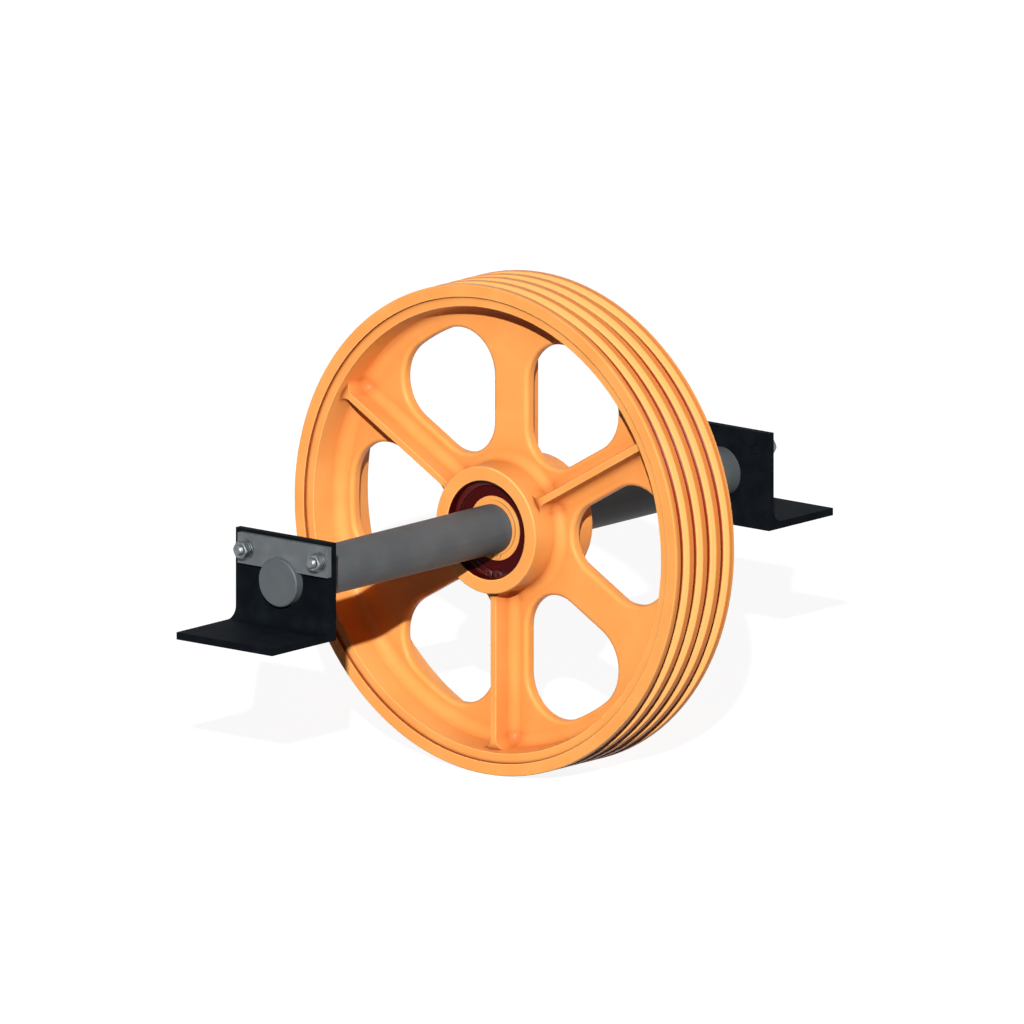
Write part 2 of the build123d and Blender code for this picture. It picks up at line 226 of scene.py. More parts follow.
def edge_of(tree: bpy.types.NodeTree, edge_radius: float) -> bpy.types.NodeSocket:
    """1 along the edges of a piece, whether they stand out or lie in a corner, and 0 elsewhere.

    Args:
        tree: the material's node tree.
        edge_radius: how far the edge reaches, in millimetres.

    Returns:
        A number from 0 to 1.
    """
    softened = add_node(tree, "Bevel", {"Radius": edge_radius * MM}, samples=6)
    true_normal = add_node(tree, "NewGeometry", output="True Normal")
    likeness = add_node(tree, "VectorMath", (softened, true_normal), output="Value", operation="DOT_PRODUCT")
    return add_node(tree, "MapRange", (likeness, 0.995, 0.9), **SMOOTH)


def relief(
    tree: bpy.types.NodeTree, layers: Iterable[tuple[object, float]], edge_radius: float
) -> bpy.types.NodeSocket:
    """The surface normal with softened edges and some relief.

    Args:
        tree: the material's node tree.
        layers: each a height from -1 to 1 or 0 to 1, and how high 1 stands, in millimetres.
        edge_radius: how round the edges look, in millimetres.

    Returns:
        The normal, for a shader.
    """
    normal = add_node(tree, "Bevel", {"Radius": edge_radius * MM}, samples=4)
    for height, depth in layers:
        normal = add_node(tree, "Bump", {"Height": height, "Distance": depth * MM, "Normal": normal})
    return normal


@dataclass(frozen=True)
class Finish:
    """A surface finish, which makes one material.

    Attributes:
        name: the material's name.
        colour: its main colour, as sRGB hex.
        roughness: how far it scatters a reflection, from 0 to 1.
        metallic: 1 for clean metal, 0 for paint, and little for a bar under oil and rolling skin.
        gloss: the strength of the clear reflection off paint or oil. Clean metal keeps the usual 0.5.
        edge_radius: how round its edges look, in millimetres.
    """

    name: str
    colour: str
    roughness: float
    metallic: float = 0.0
    gloss: float = 0.5
    edge_radius: float = 0.4

    def material(self, middle: Vector) -> bpy.types.Material:
        """Makes the material.

        Args:
            middle: the middle of the pieces that take it, on the axle.

        Returns:
            The finished material.
        """
        made = bpy.data.materials.new(self.name)
        made.use_nodes = True
        made.diffuse_color = linear(self.colour)
        tree = made.node_tree
        shader = tree.nodes["Principled BSDF"]
        shader.inputs["Base Color"].default_value = linear(self.colour)
        shader.inputs["Metallic"].default_value = self.metallic
        shader.inputs["Roughness"].default_value = self.roughness
        shader.inputs["Specular IOR Level"].default_value = self.gloss
        for name, source in self.pattern(tree, place_about(tree, middle)).items():
            tree.links.new(source, shader.inputs[name])
        return made

    def pattern(self, tree: bpy.types.NodeTree, place: Place) -> dict[str, bpy.types.NodeSocket]:
        """Adds the nodes of the finish's own pattern.

        Args:
            tree: the material's node tree.
            place: where the point is.

        Returns:
            The output that drives each input of the shader.
        """
        raise NotImplementedError


@dataclass(frozen=True)
class CastEnamel(Finish):
    """Orange alkyd enamel sprayed on cast iron.

    The eye sees an even, half-gloss orange skin. It follows the sand's grain on the web, ribs and
    barrel, and shows faint turning marks on the rim, grooves and hub faces. Shade is painted into its
    colour: redder down in the dishes, deep red in the corners, darker on the lands between the grooves
    and dark red at the grooves' roots and in the bore. A paler highlight is painted along the edges and
    on the grooves' walls, and random thin spots of paint look paler too.
    """

    # Painted shade: the dishes turn this redder colour, more so the deeper they lie.
    dish_shade: str = "#C8602A"
    dish_shade_share: float = 0.4
    recess_reach: float = 70.0
    # Painted shade: deep red in the corners.
    corner_shade: str = "#6E1208"
    # Painted highlight along the edges. The same paler colour also marks random thin spots of paint.
    thin: str = "#FFC477"
    # Painted shade on the lands between the grooves.
    land_shade: str = "#DD8540"
    # Painted highlight on the grooves' walls.
    pale_tone: str = "#F0B269"
    # Painted shade at the grooves' roots.
    groove_root_shade: str = "#7B1F06"
    # Painted shade: dark red in the bore.
    mouth_shade: str = "#3C0507"
    # The sand's grain and the tool's feed are finer on the real one, and are drawn so that they show.
    sand_grain: float = 1.6
    orange_peel: float = 3.5
    casting_wave: float = 38.0
    turning_feed: float = 1.4
    corner_reach: float = 14.0
    edge_reach: float = 1.4
    wave_depth: float = 0.5
    sand_depth: float = 0.07
    peel_depth: float = 0.03
    mark_depth: float = 0.004
    turned_height: float = 33.8
    turned_radius: float = 191.0
    groove_top: float = 199.6
    groove_root: float = 193.9
    bore_radius: float = 40.6

    def pattern(self, tree: bpy.types.NodeTree, place: Place) -> dict[str, bpy.types.NodeSocket]:
        """Grain and turning marks, with painted shade in the dishes, corners, lands, groove roots and bore,
        and a painted highlight on the edges and groove walls. Each band fades over a millimetre or so.
        """
        off_faces = (place.height, (self.turned_height - 0.2) * MM, self.turned_height * MM)
        faced = add_node(tree, "MapRange", off_faces, **SMOOTH)
        off_rim = (place.radius, (self.turned_radius - 0.5) * MM, self.turned_radius * MM)
        grooved = add_node(tree, "MapRange", off_rim, **SMOOTH)
        in_bore = (place.radius, self.bore_radius * MM, (self.bore_radius - 0.3) * MM)
        bored = add_node(tree, "MapRange", in_bore, **SMOOTH)
        turned_outside = add_node(tree, "Math", (faced, grooved), operation="MAXIMUM")
        turned = add_node(tree, "Math", (turned_outside, bored), operation="MAXIMUM")
        as_cast = add_node(tree, "Math", (1.0, turned), operation="SUBTRACT")
        not_faced = add_node(tree, "Math", (1.0, faced), operation="SUBTRACT")
        on_rim = add_node(tree, "Math", (grooved, not_faced), operation="MULTIPLY")
        top_band = (place.radius, (self.groove_top - 0.3) * MM, (self.groove_top + 0.1) * MM)
        on_land = add_node(tree, "MapRange", top_band, **SMOOTH)
        # Where the painted shade at the grooves' roots lies.
        root_band = (place.radius, (self.groove_root + 0.9) * MM, (self.groove_root - 0.3) * MM)
        at_root = add_node(tree, "MapRange", root_band, **SMOOTH)

        wave_inputs = {"Vector": place.point, "Scale": per_metre(self.casting_wave), "Detail": 3.0}
        wave = add_node(tree, "TexNoise", wave_inputs)
        sand_inputs = {"Vector": place.point, "Scale": per_metre(self.sand_grain), "Detail": 3.0}
        sand = add_node(tree, "TexNoise", sand_inputs)
        peel_inputs = {"Vector": place.point, "Scale": per_metre(self.orange_peel), "Detail": 1.0}
        peel = add_node(tree, "TexNoise", peel_inputs)
        tool_way = add_node(tree, "Mix", colour_inputs(faced, place.height, place.radius), **COLOUR_MIX)
        marks = turning_marks(tree, tool_way, self.turning_feed, wave)

        open_near = add_node(tree, "AmbientOcclusion", {"Distance": self.corner_reach * MM}, **OPENNESS)
        open_wide = add_node(tree, "AmbientOcclusion", {"Distance": self.recess_reach * MM}, **OPENNESS)
        # Painted shade: the deeper a place lies in a dish, the more it takes the redder colour.
        recess = add_node(tree, "MapRange", (open_wide, 0.95, 0.5), **SMOOTH)
        standing_out = add_node(tree, "MapRange", (open_near, 0.75, 0.95), **SMOOTH)
        # Painted highlight: a paler colour along the edges that stand out, and on random thin spots.
        edge = add_node(tree, "Math", (edge_of(tree, self.edge_reach), standing_out), operation="MULTIPLY")
        thin_spots = add_node(tree, "MapRange", (wave, 0.35, 0.7), **SMOOTH)
        uneven = add_node(tree, "Math", (thin_spots, 0.15), operation="MULTIPLY")
        edge_highlight_and_thinness = add_node(tree, "Math", (edge, uneven), operation="MAXIMUM")
        thin_inputs = colour_inputs(edge_highlight_and_thinness, linear(self.colour), linear(self.thin))
        with_highlight_and_thin_spots = add_node(tree, "Mix", thin_inputs, **COLOUR_MIX)
        tint = add_node(tree, "Math", (recess, self.dish_shade_share), operation="MULTIPLY")
        dish_shaded = add_node(tree, "Mix", colour_inputs(tint, with_highlight_and_thin_spots, linear(self.dish_shade)), **COLOUR_MIX)
        # Painted shade: deep red wherever a corner closes in on the surface.
        corner_shade_mask = add_node(tree, "MapRange", (open_near, 0.88, 0.42), **SMOOTH)
        corner_shaded = add_node(tree, "Mix", colour_inputs(corner_shade_mask, dish_shaded, linear(self.corner_shade)), **COLOUR_MIX)
        # Painted highlight on the grooves' walls, and painted shade down at their roots.
        groove_inputs = colour_inputs(at_root, linear(self.pale_tone), linear(self.groove_root_shade))
        groove = add_node(tree, "Mix", groove_inputs, **COLOUR_MIX)
        # Painted shade on the lands between the grooves.
        rim = add_node(tree, "Mix", colour_inputs(on_land, groove, linear(self.land_shade)), **COLOUR_MIX)
        coat = add_node(tree, "Mix", colour_inputs(on_rim, corner_shaded, rim), **COLOUR_MIX)
        # Painted shade: dark red in the bore.
        colour = add_node(tree, "Mix", colour_inputs(bored, coat, linear(self.mouth_shade)), **COLOUR_MIX)

        rough = add_node(tree, "Math", (sand, 0.08, self.roughness), operation="MULTIPLY_ADD")
        layers = [
            (add_node(tree, "Math", (as_cast, wave), operation="MULTIPLY"), self.wave_depth),
            (add_node(tree, "Math", (as_cast, sand), operation="MULTIPLY"), self.sand_depth),
            (peel, self.peel_depth),
            (add_node(tree, "Math", (turned, marks), operation="MULTIPLY"), self.mark_depth),
        ]
        return {"Base Color": colour, "Roughness": rough, "Normal": relief(tree, layers, self.edge_radius)}


@dataclass(frozen=True)
class OversprayedSteel(Finish):
    """Ground steel whose open face caught one of the sheave's coats.

    The bearings and circlips were in the hub when it was sprayed, so what faces out is painted, and
    the sides and backs are bare, with a freckled edge between the two.
    """

    steel: str = "#B9BCBE"
    steel_roughness: float = 0.22
    freckle: float = 0.8
    freckle_depth: float = 0.01
    # Painted shade in the corners of the painted face.
    corner_shade: str = "#6E1208"
    corner_reach: float = 5.0

    def pattern(self, tree: bpy.types.NodeTree, place: Place) -> dict[str, bpy.types.NodeSocket]:
        """Paint where the surface faces out, bare steel elsewhere, and painted shade in the corners of the
        painted face.
        """
        freckle_inputs = {"Vector": place.point, "Scale": per_metre(self.freckle), "Detail": 1.0}
        freckles = add_node(tree, "TexNoise", freckle_inputs)
        ragged = add_node(tree, "Math", (freckles, 0.5, place.facing), operation="MULTIPLY_ADD")
        sprayed = add_node(tree, "MapRange", (ragged, 0.5, 0.6), **SMOOTH)
        # Painted shade: the colour darkens where a corner closes in.
        openness = add_node(tree, "AmbientOcclusion", {"Distance": self.corner_reach * MM}, **OPENNESS)
        corner_shade_mask = add_node(tree, "MapRange", (openness, 0.85, 0.35), **SMOOTH)
        paint = add_node(tree, "Mix", colour_inputs(corner_shade_mask, linear(self.colour), linear(self.corner_shade)), **COLOUR_MIX)
        colour = add_node(tree, "Mix", colour_inputs(sprayed, linear(self.steel), paint), **COLOUR_MIX)
        bare = add_node(tree, "Math", (1.0, sprayed), operation="SUBTRACT")
        gap = self.roughness - self.steel_roughness
        rough = add_node(tree, "Math", (sprayed, gap, self.steel_roughness), operation="MULTIPLY_ADD")
        normal = relief(tree, [(freckles, self.freckle_depth)], self.edge_radius)
        return {"Base Color": colour, "Metallic": bare, "Roughness": rough, "Normal": normal}


@dataclass(frozen=True)
class DrawnSteel(Finish):
    """Cold-drawn mild steel bar, left bare and lightly oiled.

    The eye sees a dull mid grey with faint lines along the bar, soft clouds of oil and the rings of
    the facing cut on its ends.
    """

    worn: str = "#5C6164"
    # The lines and the rings are finer on the real one, and are drawn so that they show.
    line_width: float = 1.4
    line_length: float = 120.0
    line_depth: float = 0.012
    cloud: float = 30.0
    facing_feed: float = 1.2
    mark_depth: float = 0.004

    def pattern(self, tree: bpy.types.NodeTree, place: Place) -> dict[str, bpy.types.NodeSocket]:
        """Drawing lines along the bar and rings on its ends."""
        squeeze = (1.0, self.line_width / self.line_length, 1.0)
        stretched = add_node(tree, "VectorMath", (place.point, squeeze), operation="MULTIPLY")
        line_inputs = {"Vector": stretched, "Scale": per_metre(self.line_width), "Detail": 2.0}
        lines = add_node(tree, "TexNoise", line_inputs)
        cloud_inputs = {"Vector": place.point, "Scale": per_metre(self.cloud), "Detail": 3.0}
        clouds = add_node(tree, "TexNoise", cloud_inputs)
        ends = add_node(tree, "MapRange", (place.facing, 0.9, 0.95), **SMOOTH)
        along_bar = add_node(tree, "Math", (1.0, ends), operation="SUBTRACT")
        marks = turning_marks(tree, place.radius, self.facing_feed, clouds)
        wear = add_node(tree, "MapRange", (clouds, 0.35, 0.75), **SMOOTH)
        shades = colour_inputs(wear, linear(self.colour), linear(self.worn))
        colour = add_node(tree, "Mix", shades, **COLOUR_MIX)
        rough = add_node(tree, "Math", (lines, 0.16, self.roughness - 0.08), operation="MULTIPLY_ADD")
        layers = [
            (add_node(tree, "Math", (lines, along_bar), operation="MULTIPLY"), self.line_depth),
            (add_node(tree, "Math", (marks, ends), operation="MULTIPLY"), self.mark_depth),
        ]
        return {"Base Color": colour, "Roughness": rough, "Normal": relief(tree, layers, self.edge_radius)}


@dataclass(frozen=True)
class SatinBlackEnamel(Finish):
    """Satin black enamel brushed on hot-rolled angle.

    The eye sees a near-black, blue-tinged skin with the shallow waves of the rolled face under it.
    """

    lifted: str = "#11161B"
    mill_wave: float = 14.0
    wave_depth: float = 0.16
    orange_peel: float = 1.8
    peel_depth: float = 0.03

    def pattern(self, tree: bpy.types.NodeTree, place: Place) -> dict[str, bpy.types.NodeSocket]:
        """Rolled waves and a fine skin."""
        wave_inputs = {"Vector": place.point, "Scale": per_metre(self.mill_wave), "Detail": 3.0}
        wave = add_node(tree, "TexNoise", wave_inputs)
        peel_inputs = {"Vector": place.point, "Scale": per_metre(self.orange_peel), "Detail": 2.0}
        peel = add_node(tree, "TexNoise", peel_inputs)
        lift = add_node(tree, "MapRange", (wave, 0.3, 0.75), **SMOOTH)
        shades = colour_inputs(lift, linear(self.colour), linear(self.lifted))
        colour = add_node(tree, "Mix", shades, **COLOUR_MIX)
        rough = add_node(tree, "Math", (peel, 0.14, self.roughness - 0.07), operation="MULTIPLY_ADD")
        normal = relief(tree, [(wave, self.wave_depth), (peel, self.peel_depth)], self.edge_radius)
        return {"Base Color": colour, "Roughness": rough, "Normal": normal}


@dataclass(frozen=True)
class RolledFlatSteel(Finish):
    """Rolled flat bar, sawn to length and left bare.

    The eye sees an even grey with fine lines along the bar and lighter, rubbed patches.
    """

    pale_tone: str = "#6A6F73"
    # The lines are finer on the real one, and are drawn so that they show.
    line_width: float = 0.9
    line_length: float = 60.0
    line_depth: float = 0.012
    patch: float = 18.0

    def pattern(self, tree: bpy.types.NodeTree, place: Place) -> dict[str, bpy.types.NodeSocket]:
        """Rolling lines along the plate."""
        squeeze = (self.line_width / self.line_length, 1.0, 1.0)
        stretched = add_node(tree, "VectorMath", (place.point, squeeze), operation="MULTIPLY")
        line_inputs = {"Vector": stretched, "Scale": per_metre(self.line_width), "Detail": 2.0}
        lines = add_node(tree, "TexNoise", line_inputs)
        patch_inputs = {"Vector": place.point, "Scale": per_metre(self.patch), "Detail": 3.0}
        patches = add_node(tree, "TexNoise", patch_inputs)
        rub = add_node(tree, "MapRange", (patches, 0.4, 0.75), **SMOOTH)
        shades = colour_inputs(rub, linear(self.colour), linear(self.pale_tone))
        colour = add_node(tree, "Mix", shades, **COLOUR_MIX)
        rough = add_node(tree, "Math", (lines, 0.14, self.roughness - 0.07), operation="MULTIPLY_ADD")
        normal = relief(tree, [(lines, self.line_depth)], self.edge_radius)
        return {"Base Color": colour, "Roughness": rough, "Normal": normal}


@dataclass(frozen=True)
class TintedSteel(Finish):
    """Bare or plated steel with soft clouds in its tint, for the fasteners and the bearings' insides.

    The eye sees the clean shine of plating, grinding or pressing, a little uneven in tint.
    """

    tint: str = "#FFFFFF"
    cloud: float = 3.0
    texture: float = 0.6
    texture_depth: float = 0.004

    def pattern(self, tree: bpy.types.NodeTree, place: Place) -> dict[str, bpy.types.NodeSocket]:
        """Clouds in the tint and a fine texture."""
        cloud_inputs = {"Vector": place.point, "Scale": per_metre(self.cloud), "Detail": 2.0}
        clouds = add_node(tree, "TexNoise", cloud_inputs)
        fine_inputs = {"Vector": place.point, "Scale": per_metre(self.texture), "Detail": 1.0}
        fine = add_node(tree, "TexNoise", fine_inputs)
        shift = add_node(tree, "MapRange", (clouds, 0.35, 0.7), **SMOOTH)
        shades = colour_inputs(shift, linear(self.colour), linear(self.tint))
        colour = add_node(tree, "Mix", shades, **COLOUR_MIX)
        rough = add_node(tree, "Math", (clouds, 0.1, self.roughness - 0.05), operation="MULTIPLY_ADD")
        normal = relief(tree, [(fine, self.texture_depth)], self.edge_radius)
        return {"Base Color": colour, "Roughness": rough, "Normal": normal}


# Enamel colour read off the lit face of the rim. Its edges get a paler painted highlight and its corners a
# redder painted shade.
ORANGE_ENAMEL = CastEnamel("orange_enamel_on_cast_iron", "#E89A50", roughness=0.32, gloss=0.11, edge_radius=0.9)
# The same enamel, on what stood out in the hub's mouth when the sheave was sprayed.
OVERSPRAY = OversprayedSteel(
    "orange_overspray_on_ground_steel", "#E5984F", roughness=0.4, gloss=0.15, edge_radius=0.3
)
# The circlip round the bore takes a dark red painted shade, because it lies deep in the hub's mouth.
CIRCLIP_SHADE_OVERSPRAY = OversprayedSteel(
    "thin_overspray_on_spring_steel", "#4E150E", roughness=0.42, gloss=0.2, corner_shade="#2A0806", edge_radius=0.3
)
# Dark red painted shade, on what lies deepest in the hub's mouth.
MOUTH_SHADE_STEEL = OversprayedSteel(
    "dark_red_primer_on_ground_steel", "#3C0507", roughness=0.55, gloss=0.08, corner_shade="#140403", edge_radius=0.3
)
# Bare bar, dull from its oil film, so it reflects little more than a mid grey.
BAR_STEEL = DrawnSteel(
    "cold_drawn_bar_steel", "#53595C", roughness=0.55, metallic=0.15, gloss=0.15, edge_radius=0.5
)
# Brushed-on satin black, which hides most of the rolled skin.
BLACK_ENAMEL = SatinBlackEnamel("satin_black_enamel_on_rolled_angle", "#0A0D11", roughness=0.7, gloss=0.02)
# Flat bar, sawn and bare.
FLAT_STEEL = RolledFlatSteel("bare_rolled_flat_bar", "#5E6366", roughness=0.55, metallic=0.4, gloss=0.3)
# Zinc plating, bright when new and a little dull by now, with a faint cold tint.
ZINC = TintedSteel(
    "bright_zinc_plating", "#6E7376", roughness=0.44, metallic=1.0, tint="#84898B", edge_radius=0.25
)
# Hardened and polished balls, the brightest metal of all.
POLISHED = TintedSteel("polished_chrome_steel", "#D8DADC", roughness=0.1, metallic=1.0, tint="#E4E4E2")
# Cages pressed from strip, a little yellow from the drawing oil.
PRESSED = TintedSteel(
    "pressed_strip_steel", "#A9A295", roughness=0.36, metallic=1.0, tint="#BDB6A6", texture_depth=0.01
)
# Turned tube, grey and plain.
TUBE = TintedSteel("turned_steel_tube", "#8E9295", roughness=0.35, metallic=1.0, tint="#A2A6A8", cloud=8.0)


def paint_node(node: str, material: bpy.types.Material) -> None:
    """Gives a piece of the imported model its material.

    Args:
        node: the piece's name.
        material: its new material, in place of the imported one.
    """
    piece = bpy.data.objects[node]
    piece.data.materials.clear()
    piece.data.materials.append(material)
    LOG.info("%s: %s", node, material.name)


def mesh_piece(
    name: str, points: list[Vector], faces: list[tuple[int, ...]], material: bpy.types.Material
) -> bpy.types.Object:
    """Makes a mesh object, smooth but for its sharp edges.

    Args:
        name: the piece's name.
        points: its corners, in metres, in the frame of the model.
        faces: the corners of each face.
        material: its material.

    Returns:
        The new object.
    """
    mesh = bpy.data.meshes.new(name)
    mesh.from_pydata(points, [], faces)
    mesh.shade_smooth()
    mesh.set_sharp_from_angle(angle=math.radians(SHARP_ANGLE))
    mesh.materials.append(material)
    mesh.validate()
    piece = bpy.data.objects.new(name, mesh)
    bpy.context.scene.collection.objects.link(piece)
    return piece


def grid_faces(rows: int, columns: int, closed_rows: bool) -> list[tuple[int, ...]]:
    """The faces of a grid of points that closes on itself round its columns.

    Args:
        rows: how many rows of points there are.
        columns: how many points each row has.
        closed_rows: whether the last row joins the first.

    Returns:
        Four corners for each face.
    """
    faces = []
    for row in range(rows if closed_rows else rows - 1):
        above = (row + 1) % rows
        for column in range(columns):
            beside = (column + 1) % columns
            low, high = row * columns, above * columns
            faces.append((low + column, low + beside, high + beside, high + column))
    return faces


@dataclass
class ThreadedStud:
    """One keeper stud with a cut metric thread along its whole length."""

    side: Side
    hand: Hand
    pitch: float = 1.25
    end_chamfer: float = 0.8
    root_share: float = 0.125
    depth_share: float = 0.6134
    painted_length: float = 2.0
    steps_per_turn: int = 40
    rows_per_pitch: int = 8

    @property
    def node(self) -> str:
        """The name of the plain stud that it stands for."""
        return f"keeper_stud_{self.side.word}_{self.hand.value}"

    def flank(self, turns: float) -> float:
        """How deep the thread is at a place along it, from 0 at the crest to 1 at the root.

        Args:
            turns: the place, counted in pitches. Only its fraction matters.

        Returns:
            The share of the thread's depth.
        """
        ramp = abs(2 * (turns % 1.0) - 1)
        return min(1.0, max(0.0, (ramp - self.root_share) / (1 - 2 * self.root_share)))

    def build(self, plating: bpy.types.Material, paint: bpy.types.Material) -> bpy.types.Object:
        """Cuts the thread and puts the stud where the plain one is.

        Args:
            plating: its finish.
            paint: the bracket's paint, which covers the end that lies flush in the bracket.

        Returns:
            The new piece.
        """
        low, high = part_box(self.node)
        middle = (low + high) / 2
        radius, length = (high.x - low.x) / 2, high.y - low.y
        depth = self.depth_share * self.pitch * MM
        rows = round(length / (self.pitch * MM) * self.rows_per_pitch)
        points = []
        for row in range(rows + 1):
            along = length * row / rows
            from_end = min(along, length - along)
            chamfered = radius - max(0.0, self.end_chamfer * MM - from_end)
            for step in range(self.steps_per_turn):
                share = step / self.steps_per_turn
                cut = radius - depth * self.flank(along / (self.pitch * MM) - share)
                reach = min(cut, chamfered)
                angle = 2 * math.pi * share
                right, up = reach * math.cos(angle), -reach * math.sin(angle)
                points.append(Vector((middle.x + right, low.y + along, middle.z + up)))
        faces = grid_faces(rows + 1, self.steps_per_turn, closed_rows=False)
        first_row = range(self.steps_per_turn)
        last_row = range(rows * self.steps_per_turn, (rows + 1) * self.steps_per_turn)
        faces += [tuple(reversed(first_row)), tuple(last_row)]
        stud = mesh_piece(f"threaded_{self.node}", points, faces, plating)
        stud.data.materials.append(paint)
        painted_from, painted_to = low.y, low.y + self.painted_length * MM
        if self.side is Side.NEAR:
            painted_from, painted_to = high.y - self.painted_length * MM, high.y
        for polygon in stud.data.polygons:
            if painted_from <= polygon.center.y <= painted_to:
                polygon.material_index = 1
        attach(stud, "carrier")
        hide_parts(self.node)
        LOG.info("%s: %d rows of thread", stud.name, rows)
        return stud


@dataclass
class PressedShield:
    """The outer shield of a bearing, pressed from thin strip.

    Its outer edge is crimped into the outer ring, a shallow step stiffens it, and its inner lip
    runs close to the inner ring.
    """

    side: Side
    width: float = 8.37
    thickness: float = 0.4
    crimp_width: float = 1.1
    crimp_round: float = 0.35
    crimp_drop: float = 0.15
    crown_drop: float = 0.05
    floor_drop: float = 0.35
    step_start: float = 0.30
    step_end: float = 0.52
    lip_width: float = 0.9
    lip_round: float = 0.2
    lip_top_drop: float = 0.1
    lip_edge_drop: float = 0.2
    segments: int = 128

    @property
    def node(self) -> str:
        """The name of the plain ring that it stands for."""
        return f"bearing_{self.side.word}_outer_shield"

    def build(self, material: bpy.types.Material) -> bpy.types.Object:
        """Turns the pressed section round the axle, where the plain ring is.

        Args:
            material: its finish.

        Returns:
            The new piece.
        """
        low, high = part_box(self.node)
        middle = (low + high) / 2
        out = self.side.value
        face = high.y if out > 0 else low.y
        outer = (high.x - low.x) / 2
        width = self.width * MM
        inner = outer - width
        floor = face - out * self.floor_drop * MM
        front_line = [
            (outer, face - out * self.crimp_drop * MM),
            (outer - self.crimp_round * MM, face),
            (outer - self.crimp_width * MM, face),
            (outer - self.step_start * width, face - out * self.crown_drop * MM),
            (outer - self.step_end * width, floor),
            (inner + self.lip_width * MM, floor),
            (inner + self.lip_round * MM, face - out * self.lip_top_drop * MM),
            (inner, face - out * self.lip_edge_drop * MM),
        ]
        back_line = [(radius, height - out * self.thickness * MM) for radius, height in reversed(front_line)]
        section = front_line + back_line
        points = []
        for radius, height in section:
            for step in range(self.segments):
                angle = 2 * math.pi * step / self.segments
                points.append(
                    Vector((middle.x + radius * math.cos(angle), height, middle.z + radius * math.sin(angle)))
                )
        faces = grid_faces(len(section), self.segments, closed_rows=True)
        shield = mesh_piece(f"pressed_{self.node}", points, faces, material)
        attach(shield, "wheel")
        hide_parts(self.node)
        LOG.info("%s: %d faces", shield.name, len(faces))
        return shield


@dataclass
class Wheel:
    """The sheave with what turns with it: outer rings, shields and hub circlips."""

    sides: tuple[Side, ...] = (Side.NEAR, Side.FAR)

    def dress(
        self,
        enamel: bpy.types.Material,
        mouth_shade_finish: bpy.types.Material,
        circlip_shade_finish: bpy.types.Material,
        pressed: bpy.types.Material,
    ) -> None:
        """Gives the wheel its finishes.

        Args:
            enamel: the sheave's own paint.
            mouth_shade_finish: the dark red painted shade on what lies deepest in the hub's mouths.
            circlip_shade_finish: the dark red painted shade on the circlips there.
            pressed: the finish of the shields inside.
        """
        paint_node("sheave", enamel)
        for side in self.sides:
            # The outer rings, hub circlips and pressed shields lie deep in the hub's mouths and take a dark red
            # painted shade.
            paint_node(f"bearing_{side.word}_outer_ring", mouth_shade_finish)
            paint_node(f"hub_circlip_{side.word}", circlip_shade_finish)
            paint_node(f"bearing_{side.word}_inner_shield", pressed)
            PressedShield(side).build(mouth_shade_finish)


@dataclass
class BallSet:
    """The cage of one bearing with its balls."""

    side: Side
    ball_count: int = 9

    def dress(self, polished: bpy.types.Material, pressed: bpy.types.Material) -> None:
        """Gives the balls and their cage their finishes.

        Args:
            polished: the balls' finish.
            pressed: the cage's finish.
        """
        paint_node(f"bearing_{self.side.word}_cage", pressed)
        for number in range(1, self.ball_count + 1):
            paint_node(f"bearing_{self.side.word}_ball_{number}", polished)


@dataclass
class Axle:
    """The fixed shaft with its inner rings, spacer and circlips."""

    sides: tuple[Side, ...] = (Side.NEAR, Side.FAR)

    def dress(self, bar: bpy.types.Material, tube: bpy.types.Material, overspray: bpy.types.Material) -> None:
        """Gives the axle its finishes.

        Args:
            bar: the shaft's finish.
            tube: the spacer's finish.
            overspray: the finish of what shows in the hub's mouths.
        """
        paint_node("shaft", bar)
        paint_node("bearing_spacer", tube)
        for side in self.sides:
            paint_node(f"bearing_{side.word}_inner_ring", overspray)
            paint_node(f"shaft_circlip_{side.word}", overspray)


@dataclass
class AxleSupport:
    """One angle bracket with its keeper plate and fasteners."""

    side: Side
    hands: tuple[Hand, ...] = (Hand.LEFT, Hand.RIGHT)

    def dress(self, black: bpy.types.Material, flat: bpy.types.Material, zinc: bpy.types.Material) -> None:
        """Gives the support its finishes and builds its studs.

        Args:
            black: the bracket's paint.
            flat: the keeper plate's finish.
            zinc: the fasteners' plating.
        """
        paint_node(f"bracket_{self.side.word}", black)
        paint_node(f"keeper_plate_{self.side.word}", flat)
        for hand in self.hands:
            paint_node(f"keeper_washer_{self.side.word}_{hand.value}", zinc)
            paint_node(f"keeper_nut_{self.side.word}_{hand.value}", zinc)
            ThreadedStud(self.side, hand).build(zinc, black)


